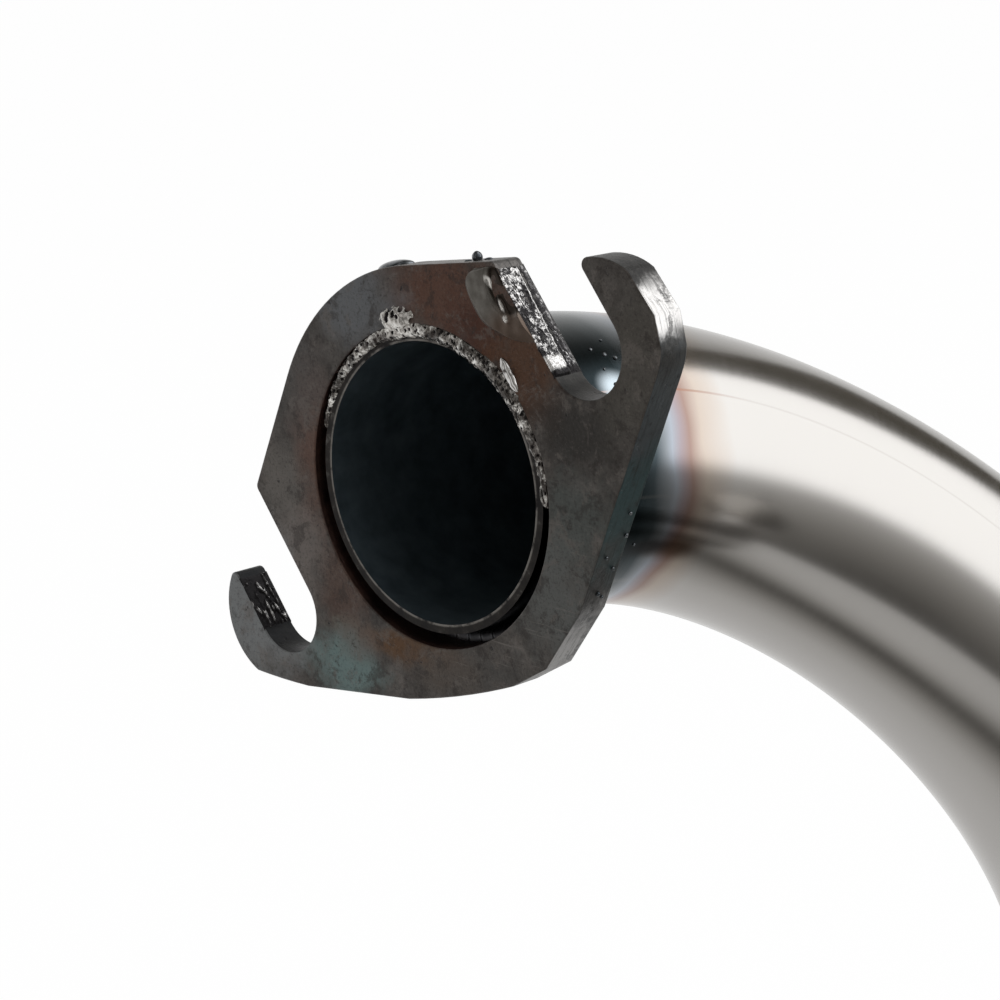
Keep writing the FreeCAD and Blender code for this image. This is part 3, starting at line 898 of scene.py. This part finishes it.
def in_runs(across, through):
    """Glossy runs on a dark wall."""
    streak = Vector((across * 0.55, through * 1.9, 5.2))
    run = smooth_step(0.12, 0.5, noise.fractal(streak * 1.3, 1.0, 2.0, 3))
    return 0.7 * run, 0.03 + 0.24 * run


def splash_finish():
    """Black scale with bright splashes of bare steel, and the ridge's painted highlight and painted shadow.
    """
    crust = Finish("torch_crust", metallic=0.85)
    speckle = crust.scaled(crust.noise(2300, 6, roughness=0.75), 1.6, -0.84)
    amount = crust.math("ADD", crust.attribute("crust_tone"), speckle)
    colour = crust.ramp(
        amount,
        (0.3, (0.014, 0.013, 0.014)),
        (0.5, (0.07, 0.068, 0.07)),
        (0.68, (0.34, 0.335, 0.33)),
        (0.95, (0.66, 0.65, 0.64)),
    )
    return crust.done(colour, crust.scaled(amount, -0.25, 0.42), (speckle, 0.00006, 0.5))


torch_crust = splash_finish()
walls = [
    # name, place along the stud line, start and end across it, columns, rows and what the crust is like
    ("slot_crust", 22.95 * MM, -0.2 * MM, 12.55 * MM, 240, 76, splashed),
    ("hook_runs", -33.54 * MM, 0.0 * MM, 6.6 * MM, 120, 56, in_runs),
]
for grid in [wall_crust(*wall) for wall in walls]:
    close_below(grid)
    finish_piece(grid, torch_crust, "flange_steel")

# %% [markdown]
# ## Molten steel on the face
#
# Beside the upper slot the torch slipped: a grey pad of steel froze on the face, with a scoop that opens
# towards the slot and two bright beads at its lower end. Stations give the pad's left and right border in the
# slot's own directions; a grid between them rises to the pad's height and dips in the scoop. A small ball of
# spatter sits on the top edge, a low mound beside it, and fine drops cling to the side wall and the pipe.

# %% Melted pad
pad_stations = [
    # share of the way down, then along and across of the left border and of the right border
    (0.0, 20.5, 14.2, 21.7, 13.5),
    (0.12, 18.6, 13.9, 22.9, 12.7),
    (0.3, 17.95, 12.3, 22.93, 11.3),
    (0.55, 17.95, 9.4, 22.93, 8.9),
    (0.75, 19.3, 7.1, 22.93, 6.8),
    (0.9, 21.0, 5.2, 22.93, 5.1),
    (1.0, 22.6, 4.2, 22.93, 4.1),
]


def melted_pad():
    """A low pad with a scoop and two beads; the scoop, for painted shade, and a painted highlight on its
    slope and beads are kept for the finish.
    """
    pad = started(
        bpy.ops.mesh.primitive_grid_add, "melted_pad", x_subdivisions=120, y_subdivisions=90, size=1
    )
    scoop_shade, painted_highlight = [], []
    for vertex in pad.data.vertices:
        down, across_pad = vertex.co.x + 0.5, vertex.co.y + 0.5
        left_along, left_across, right_along, right_across = at_station(pad_stations, down)
        along = left_along + (right_along - left_along) * across_pad
        across = left_across + (right_across - left_across) * across_pad
        fade = smooth_step(0, 0.14, across_pad) * smooth_step(1, 0.95, across_pad)
        fade *= smooth_step(0, 0.08, down) * smooth_step(1, 0.8, down)
        inside = ((along - 22.6) / 2.0) ** 2 + ((across - 10.3) / 3.1) ** 2
        scoop = smooth_step(1.1, 0.5, inside)
        long_bead = bump(along, 21.4, 0.26) * bump(across, 9.2, 0.75)
        round_bead = bump(along, 21.3, 0.32) * bump(across, 7.7, 0.4)
        lit_slope = bump(along, 21.4, 0.35) * bump(across, 11.9, 0.9)
        wave = 0.06 * noise.noise(Vector((along * 0.9, across * 0.9, 0)))
        height = fade * (0.42 + wave - 0.4 * scoop) + 0.3 * long_bead + 0.3 * round_bead - 0.02
        scoop_shade.append(scoop)
        painted_highlight.append(min(1.0, lit_slope + long_bead + round_bead))
        vertex.co = (along_studs * along + slot_way * across - forward * height) * MM
    remember(pad, "scoop_shade", scoop_shade)
    remember(pad, "painted_highlight", painted_highlight)
    clean_up(pad)
    close_below(pad)
    return pad


def pad_finish():
    """Grey skin with painted shade in the scoop and a painted highlight on its slope and on the beads, rusty
    at its foot.
    """
    skin = Finish("melted_steel", metallic=0.85)
    scoop = skin.attribute("scoop_shade")
    bright = skin.between(skin.attribute("painted_highlight"), 0.25, 0.8)
    cloud = skin.noise(420, 6, roughness=0.65)
    foot = skin.near((0.0125, 0, 0.0178), (0.0034, 0.01, 0.0026), 0.5)
    colour = skin.layered(
        skin.ramp(cloud, (0.35, (0.095, 0.087, 0.077)), (0.65, (0.16, 0.152, 0.138))),
        (foot, 0.75, (0.075, 0.045, 0.03)),
        # painted shade in the scoop, and a painted highlight on the slope and beads
        (skin.between(scoop, 0.3, 0.8), 1.0, (0.024, 0.018, 0.014)),
        (bright, 1.0, (0.62, 0.6, 0.57)),
    )
    dull = skin.scaled(skin.math("MAXIMUM", scoop, bright), -0.25, 0.4)
    return skin.done(colour, dull, (cloud, 0.00004, 0.4))


finish_piece(melted_pad(), pad_finish(), "flange_steel")


# %% Spatter
def spatter():
    """Balls of frozen steel, each set down on the wall that it stuck to."""
    down, inwards = Vector((0, 0, -1)), Vector((-1, 0, 0))
    balls = [
        # where it flew from, which way, its half width, depth and height, and how far its middle stands out
        ((5.6, 1.9, 30), down, (0.55, 0.55, 0.58), 0.36),
        ((4.7, 1.5, 30), down, (0.35, 0.45, 0.2), 0.0),
        ((6.8, 2.3, 30), down, (0.4, 0.5, 0.22), 0.0),
        ((-6.4, 2.0, 30), down, (1.4, 2.5, 0.75), -0.2),
        ((40, 2.9, 1.5), inwards, (0.2, 0.2, 0.2), 0.05),
        ((40, 3.4, -1.0), inwards, (0.24, 0.24, 0.24), 0.05),
        ((40, 1.4, -3.1), inwards, (0.2, 0.2, 0.2), 0.05),
        ((40, 3.0, -4.6), inwards, (0.22, 0.22, 0.22), 0.05),
        ((40, 1.9, -7.2), inwards, (0.26, 0.26, 0.26), 0.05),
        ((40, 2.7, -7.7), inwards, (0.2, 0.2, 0.2), 0.05),
    ]
    pipe_drops = [
        (8.0, 18.0, 14.1), (8.9, 15.4, 13.6), (9.8, 16.6, 13.0), (11.1, 15.1, 11.9),
        (12.5, 15.3, 10.5), (10.4, 17.6, 12.6), (14.9, 15.8, -6.4),
    ]
    hits = [(flange_plate.ray_cast(Vector(start) * MM, way), size, lift) for start, way, size, lift in balls]
    for number, spot in enumerate(pipe_drops):
        size = 0.16 + 0.05 * (number % 3)
        from_lens = (Vector(spot) * MM - camera_place).normalized()
        hits.append((header.ray_cast(camera_place, from_lens), (size, size, 0.8 * size), 0.03))
    made = []
    for (found, place, normal, face), size, lift in hits:
        ball = started(bpy.ops.mesh.primitive_ico_sphere_add, "spatter", subdivisions=4, radius=MM)
        for vertex in ball.data.vertices:
            vertex.co *= 1 + 0.12 * noise.noise(vertex.co / MM + place / MM)
        set_down(ball, size, normal.to_track_quat("Z", "Y").to_euler(), place + normal * lift * MM)
        made.append(ball)
    return joined(made, "spatter")


def spatter_finish():
    drop = Finish("spatter_steel", metallic=0.9)
    cloud = drop.noise(1500, 3)
    colour = drop.ramp(cloud, (0.35, (0.03, 0.035, 0.04)), (0.65, (0.16, 0.17, 0.18)))
    return drop.done(colour, drop.scaled(cloud, 0.2, 0.08), (cloud, 0.00004, 0.3))


finish_piece(spatter(), spatter_finish(), "flange_steel")

# %% [markdown]
# ## Weld seams laid by hand
#
# The other seams are neat beads of overlapping scales, like a row of fallen coins. One function lays them
# all: each ring of a blank is set on the seam's corner, spread between its two legs, and its size rises along
# each scale and drops at the next like a saw tooth. The fronts of the scales bow forward, because the pool of
# metal was round.

# %% Seams
silencer_middle = Vector((0, 29.062, -73.233)) * MM
collar_start = 140.55 * MM
sleeve_radius = 45.0 * MM
tail_start = 442.55 * MM
hanger_middle = 317.55 * MM
saddle_half_angle = math.radians(32)
arc_count = 14
row_pitch = 0.17 * MM
scale_length = 1.7 * MM


def round_seam(centre, axis, radius, face_leg, out_leg):
    """A seam round a tube: its length, and its corner and legs at each distance."""
    start = axis.orthogonal().normalized()
    side = axis.cross(start)

    def legs_at(distance):
        out = start * math.cos(distance / radius) + side * math.sin(distance / radius)
        return centre + out * radius, face_leg, out * out_leg

    return math.tau * radius + 2.5 * MM, legs_at


def straight_seam(corner, length, first_leg, second_leg):
    """A seam along the silencer."""
    return length, lambda distance: (corner + along_silencer * distance, first_leg, second_leg)


def lay_bead(name, seams, sink=0.15 * MM):
    """Lays a rippled bead on each seam and joins them into one piece."""
    made = []
    for length, legs_at in seams:
        steps = round(length / row_pitch)
        bead = bead_blank(name, arc_count + 1, steps)
        for vertex in bead.data.vertices:
            step, number = divmod(vertex.index, arc_count + 1)
            distance = length * step / steps
            corner, first_leg, second_leg = legs_at(distance)
            first_way, second_way = first_leg.normalized(), second_leg.normalized()
            if number == arc_count:
                vertex.co = corner - (first_way + second_way) * 0.2 * MM
                continue
            turn = 0.5 * math.pi * number / (arc_count - 1)
            scales = distance / scale_length + 0.55 * math.sin(2 * turn)
            ripple = 0.07 * noise.noise(Vector((distance / MM * 0.3, number * 0.1, 2)))
            swell = 0.9 + 0.16 * (scales % 1) + ripple
            swell *= 0.3 + 0.7 * smooth_step(0, 2.2 * MM, min(distance, length - distance))
            first_share, second_share = max(0.0, math.cos(turn)), math.sin(turn)
            place = corner + first_leg * swell * first_share ** 1.25
            place += second_leg * swell * second_share ** 1.25
            vertex.co = place - (second_way * first_share + first_way * second_share) * sink
        clean_up(bead)
        made.append(bead)
    return joined(made, name)


# %% Weld finishes
def seam_finish(name, dark, bright):
    """Weld metal whose scales are bright on their backs and oxidised in the gaps."""
    weld = Finish(name, metallic=0.95)
    cloud = weld.noise(160, 5, roughness=0.65)
    film = weld.between(weld.noise(330, 4), 0.5, 0.64)
    colour = weld.ramp(cloud, (0.35, dark), (0.65, bright))
    colour = weld.layered(colour, (film, 0.5, tuple(0.6 * value for value in dark)))
    return weld.done(colour, weld.scaled(cloud, 0.2, 0.2), (weld.noise(2200, 4), 0.00003, 0.4))


clean_seam = seam_finish("seam_weld", (0.2, 0.175, 0.155), (0.46, 0.44, 0.41))
burnt_seam = seam_finish("burnt_weld", (0.03, 0.034, 0.042), (0.15, 0.145, 0.15))
flange_corner = Vector((0, 4.0, 0.35)) * MM
collar_corner = silencer_middle + along_silencer * collar_start
tail_corner = silencer_middle + along_silencer * tail_start
round_seams = [
    # name, solid, finish, middle, axis, then radius, leg along the axis and leg outwards in millimetres
    ("flange_back_bead", "flange_back_weld", burnt_seam, flange_corner, forward, 16.0, 3.3, 3.3),
    ("collar_bead", "collar_weld", clean_seam, collar_corner, along_silencer, 16.0, -2.4, 1.5),
    ("tail_bead", "tail_weld", clean_seam, tail_corner, along_silencer, 18.62, 2.9, 2.9),
]
for name, node, material, corner, axis, radius, face_leg, out_leg in round_seams:
    seam = round_seam(corner, axis, radius * MM, axis * face_leg * MM, out_leg * MM)
    finish_piece(lay_bead(name, [seam]), material, "weld_metal", node)

# %% Hanger seams
tab_start = hanger_middle - 48 * MM
tab_foot = silencer_middle.z + 46.55 * MM
hanger_seams = []
saddle_seams = []
for side in (-1, 1):
    tab_corner = Vector((tab_start, silencer_middle.y + side * 2.0 * MM, tab_foot))
    hanger_seams.append(straight_seam(tab_corner, 96 * MM, forward * side * 3.2 * MM, up * 3.2 * MM))
    turn = side * saddle_half_angle
    out = up * math.cos(turn) + forward * math.sin(turn)
    away = (forward * math.cos(turn) - up * math.sin(turn)) * side
    saddle_corner = silencer_middle + out * sleeve_radius + along_silencer * (hanger_middle - 60 * MM)
    saddle_seams.append(straight_seam(saddle_corner, 120 * MM, away * 1.5 * MM, out * 1.5 * MM))
finish_piece(lay_bead("hanger_beads", hanger_seams, 0.4 * MM), clean_seam, "weld_metal", "hanger_welds")
finish_piece(lay_bead("saddle_beads", saddle_seams, 0.1 * MM), clean_seam, "weld_metal", "saddle_welds")

# %% [markdown]
# ## The plain silencer
#
# Nothing past the photo's edge is known, so the silencer is plain: brushed sheet, spun caps, a polished tail
# and rivets. The brush leaves fine lines round each sheet. Beside every weld the heat has left straw, brown
# and blue, and the distance to the weld picks the colour. Inside the tail all is soot.


# %% Sheet finishes
def beyond(steel, axis, start):
    """How far a place lies beyond a level along one axis."""
    level = steel.node("SeparateXYZ", {"Vector": steel.place}).outputs[axis]
    return steel.math("SUBTRACT", level, start)


def off_axis(steel):
    """How far a place lies from the silencer's middle line, sideways, upwards and in all."""
    sideways_part = beyond(steel, "Y", silencer_middle.y)
    upward_part = beyond(steel, "Z", silencer_middle.z)
    flat = steel.node("CombineXYZ", {"Y": sideways_part, "Z": upward_part}).outputs[0]
    return sideways_part, upward_part, steel.vector("LENGTH", flat, output="Value")


def heat_tint(steel, colour, distance):
    """The colours that a weld's heat leaves beside it."""
    wander = steel.scaled(steel.noise(55, 2), 0.005, -0.0025)
    distance = steel.math("ADD", distance, wander)
    films = [(0.0, (0.2, 0.215, 0.25)), (0.28, (0.22, 0.19, 0.225)), (0.42, (0.31, 0.235, 0.17))]
    films += [(0.68, (0.44, 0.39, 0.3)), (1.0, clean_steel)]
    tint = steel.ramp(steel.math("DIVIDE", distance, 0.011), *films)
    return steel.mix(steel.between(distance, 0.012, 0.006), colour, tint)


def sheet_finish(name, colour, gloss, grain, heat=None, soot_below=None):
    """Stainless sheet: grain stretches the brush's lines, heat tells how far a weld is."""
    steel = Finish(name)
    lines = steel.noise(1.0, 4, steel.stretched(grain), roughness=0.6)
    cloud = steel.noise(40, 4)
    shade = steel.ramp(lines, (0.3, tuple(0.82 * value for value in colour)), (0.7, colour))
    if heat is not None:
        shade = heat_tint(steel, shade, heat(steel))
    roughness = steel.scaled(cloud, 0.1, gloss)
    if soot_below is not None:
        soot = steel.between(off_axis(steel)[2], soot_below + 0.0003, soot_below)
        shade = steel.mix(soot, shade, (0.02, 0.02, 0.021))
        roughness = steel.scaled(soot, 0.4, roughness)
    return steel.done(shade, roughness, (lines, 0.00001, 0.4))


def outside(steel, axis, middle, half):
    """How far a place lies outside a stretch along one axis."""
    return steel.math("SUBTRACT", steel.math("ABSOLUTE", beyond(steel, axis, middle)), half)


def beside_saddle(steel):
    """Distance from the saddle's welds on the sleeve."""
    sideways_part, upward_part, _ = off_axis(steel)
    angle = steel.math("ABSOLUTE", steel.math("ARCTAN2", sideways_part, upward_part))
    apart = steel.math("ABSOLUTE", steel.math("SUBTRACT", angle, saddle_half_angle + 0.02))
    past_end = steel.math("MAXIMUM", outside(steel, "X", hanger_middle, 0.06), 0.0)
    return steel.scaled(apart, sleeve_radius, past_end)


def beside_tab(steel):
    """Distance from the hanger's welds on the saddle."""
    beside = outside(steel, "Y", silencer_middle.y, 0.0053)
    return steel.math("MAXIMUM", beside, outside(steel, "X", hanger_middle, 0.048))


round_grain, long_grain = (2600, 40, 40), (40, 2600, 2600)
satin = (0.46, 0.452, 0.44)
plain_finishes = {
    "sleeve": sheet_finish("sleeve_stainless", satin, 0.2, round_grain, beside_saddle),
    "front_cap": sheet_finish("front_cap_stainless", (0.36, 0.345, 0.325), 0.17, round_grain,
                              lambda steel: beyond(steel, "X", collar_start)),
    "rear_cap": sheet_finish("rear_cap_stainless", (0.42, 0.412, 0.4), 0.13, round_grain,
                             lambda steel: steel.math("SUBTRACT", off_axis(steel)[2], 0.0217)),
    "tail_tip": sheet_finish("tail_stainless", (0.5, 0.49, 0.475), 0.08, round_grain,
                             lambda steel: beyond(steel, "X", tail_start + 3 * MM), 0.0173),
    "core_tube": sheet_finish("core_stainless", (0.05, 0.05, 0.052), 0.45, long_grain),
}


def wool_finish():
    wool = Finish("glass_wool", metallic=0.0)
    fibres = wool.noise(1.0, 5, wool.stretched((300, 2400, 2400)), roughness=0.7)
    colour = wool.ramp(fibres, (0.3, (0.42, 0.39, 0.33)), (0.7, (0.8, 0.77, 0.7)))
    return wool.done(colour, 0.95, (fibres, 0.0004, 0.8))


plain_finishes["packing"] = wool_finish()
rivet_finish = sheet_finish("rivet_steel", (0.36, 0.355, 0.35), 0.22, (700, 700, 700))
plain_finishes.update({"front_rivets": rivet_finish, "rear_rivets": rivet_finish})
for node, material in plain_finishes.items():
    for slot in frame["nodes"][node].material_slots:
        slot.material = material

# %% Hanger and bands
tab_heat = sheet_finish("tab_stainless", (0.36, 0.35, 0.335), 0.24, (40, 40, 2600),
                        lambda steel: beyond(steel, "Z", tab_foot + 3.4 * MM))
saddle_heat = sheet_finish("saddle_stainless", (0.4, 0.39, 0.375), 0.22, round_grain, beside_tab)
band_finish = sheet_finish("band_stainless", (0.5, 0.49, 0.475), 0.12, round_grain)
softened = [
    ("hanger_tab", "hanger_plate", 0.45, tab_heat, "sleeve_stainless"),
    ("hanger_saddle", "hanger_doubler", 0.25, saddle_heat, "sleeve_stainless"),
    ("front_band", "front_strap", 0.22, band_finish, "pipe_stainless"),
    ("rear_band", "rear_strap", 0.22, band_finish, "pipe_stainless"),
]
for node, name, width, material, slot in softened:
    piece = plain_copy(node, name)
    break_edges(piece, width * MM)
    finish_piece(piece, material, slot, node)

# %% [markdown]
# ## Light
#
# A large softbox high on the right makes the broad white band on the pipe. A shiny tube in an evenly white
# room would look flat, so a globe of cloth stands round the part: white behind, grey round the lens, a black
# hem between them that draws one thin line along the tube, and a dark cone by the softbox. A dark strip
# behind the pipe draws its upper edge. These show in reflections only, and a lamp of the softbox's size gives
# the light itself.

# %% Lamp and cloths
scene = bpy.context.scene
scene.view_settings.view_transform = "Standard"
stage_centre = Vector((40.0, 30.0, -20.0)) * MM
floor_height = -0.135
floor_size = 12
room_light = 0.45
softbox_way = Vector((0.62, 0.41, 0.67)).normalized()
softbox_distance = 0.9
softbox_rim, softbox_core = math.radians(48), math.radians(33)
softbox_glow = 2.42
lamp_size = 1.5
lamp_power = 11
tent_radius = 1.6
hem_way = Vector((0.816, -0.37, 0.445)).normalized()
cone_way = Vector((0.823, -0.075, 0.563)).normalized()
cone_outside, cone_inside = math.radians(70), math.radians(68)
strip_way = Vector((-0.1, 0.84, 0.53)).normalized()
strip_distance = 0.8
strip_turn = math.radians(-28)
# Degrees from the hem's middle, or from the softbox's, and how bright the cloth is there
tent_greys = [(0, 0.8), (70, 0.8), (78, 0.62), (85, 0.26), (90, 0.1)]
tent_greys += [(94, 0.2), (104, 0.54), (118, 0.82), (140, 0.92)]
cone_greys = [(45, 0.72), (56, 0.5), (64, 0.38), (72, 0.29), (81, 0.21), (90, 0.13)]


def warm(grey):
    """A grey cloth's slightly warm colour; white stays white."""
    return grey, grey * (1 - 0.05 * max(0, 1 - grey)), grey * (1 - 0.13 * max(0, 1 - grey))


def facing_stage(thing, way, distance):
    """Sets something up in a direction from the pipe, turned towards it."""
    thing.location = stage_centre + way * distance
    thing.rotation_euler = (-way).to_track_quat("-Z" if thing.type == "LIGHT" else "Z", "Y").to_euler()


def softbox_lamp():
    """The softbox's light: reflections see the cloth in front of it instead."""
    data = bpy.data.lights.new("softbox_lamp", "AREA")
    data.shape = "DISK"
    data.size = lamp_size
    data.energy = lamp_power
    lamp = bpy.data.objects.new("softbox_lamp", data)
    facing_stage(lamp, softbox_way, softbox_distance)
    lamp.visible_camera = False
    lamp.visible_glossy = False
    scene.collection.objects.link(lamp)


def angle_to(cloth, direction):
    """The angle, seen from the pipe, between a place on a cloth and a direction."""
    way = cloth.vector("NORMALIZE", cloth.vector("SUBTRACT", cloth.place, stage_centre))
    return cloth.math("ARCCOSINE", cloth.vector("DOT_PRODUCT", way, direction, "Value"))


def hang(piece, cloth, shader):
    """Hangs a cloth that lights nothing, shades nothing and is seen in reflections only."""
    piece.data.materials.append(cloth.surface(shader))
    piece.visible_camera = False
    piece.visible_diffuse = False
    piece.visible_shadow = False


def softbox_cloth():
    """The lit face of the softbox, which fades out towards its rim."""
    disc = {"vertices": 64, "radius": softbox_distance * math.tan(softbox_rim), "fill_type": "NGON"}
    face = started(bpy.ops.mesh.primitive_circle_add, "softbox_cloth", **disc)
    facing_stage(face, softbox_way, softbox_distance)
    settle(face)
    cloth = Finish("softbox_cloth")
    fade = cloth.between(angle_to(cloth, softbox_way), softbox_rim, softbox_core)
    glow = cloth.node("Emission", {"Strength": softbox_glow}).outputs[0]
    clear = cloth.node("BsdfTransparent").outputs[0]
    hang(face, cloth, cloth.node("MixShader", {0: fade, 1: clear, 2: glow}).outputs[0])


def lens_tent():
    """A globe of cloth: white behind, grey round the lens, a black hem and a dark cone by the softbox."""
    globe = {"subdivisions": 5, "radius": tent_radius, "location": stage_centre}
    tent = started(bpy.ops.mesh.primitive_ico_sphere_add, "lens_tent", **globe)
    settle(tent)
    cloth = Finish("lens_tent")

    def shaded(direction, greys):
        """Greys along the angle from a direction."""
        share = cloth.math("DIVIDE", angle_to(cloth, direction), math.pi)
        return cloth.ramp(share, *[(degrees / 180, warm(grey)) for degrees, grey in greys])

    in_cone = cloth.between(angle_to(cloth, cone_way), cone_outside, cone_inside)
    shade = cloth.mix(in_cone, shaded(hem_way, tent_greys), shaded(softbox_way, cone_greys))
    hang(tent, cloth, cloth.node("Emission", {"Color": shade}).outputs[0])


def back_cloth():
    """A dark strip behind the pipe that draws its upper edge."""
    strip = started(bpy.ops.mesh.primitive_plane_add, "back_cloth", size=1)
    strip.scale = (0.2, 0.5, 1)
    facing_stage(strip, strip_way, strip_distance)
    strip.rotation_euler.rotate_axis("Z", strip_turn)
    settle(strip)
    cloth = Finish("back_cloth")
    hang(strip, cloth, cloth.node("Emission", {"Color": (0.1, 0.088, 0.068, 1)}).outputs[0])


# %% White room and floor
def seen(nodes):
    """1 for what the camera, a reflection or a clear cloth sees, and 0 for the light on other things."""
    path = nodes.node("LightPath").outputs
    direct = nodes.math("MAXIMUM", path["Is Camera Ray"], path["Is Glossy Ray"])
    return nodes.math("MAXIMUM", direct, path["Is Transmission Ray"])


def white_room():
    """White for the camera and for reflections, and a plain level of light for everything else."""
    world = bpy.data.worlds.new("white_room")
    scene.world = world
    world.use_nodes = True
    room = Nodes(world.node_tree)
    room.tree.nodes.clear()
    level = room.node("MapRange", {"Value": seen(room), "To Min": room_light, "To Max": 1.0}).outputs[0]
    background = room.node("Background", {"Strength": level}).outputs[0]
    room.node("OutputWorld", {"Surface": background})


def pale_floor():
    """A pale floor that stays white to the camera but keeps a soft shadow; reflections don't see it."""
    sheet = {"size": floor_size, "location": (0.2, 0, floor_height)}
    floor = started(bpy.ops.mesh.primitive_plane_add, "pale_floor", **sheet)
    settle(floor)
    paper = Finish("pale_floor")
    white_part = paper.math("MULTIPLY", seen(paper), 0.985)
    matt = paper.node("BsdfDiffuse", {"Color": (0.86, 0.86, 0.86, 1)}).outputs[0]
    glow = paper.node("Emission").outputs[0]
    blend = paper.node("MixShader", {0: white_part, 1: matt, 2: glow}).outputs[0]
    floor.data.materials.append(paper.surface(blend))
    floor.visible_glossy = False


white_room()
pale_floor()
softbox_lamp()
softbox_cloth()
lens_tent()
back_cloth()
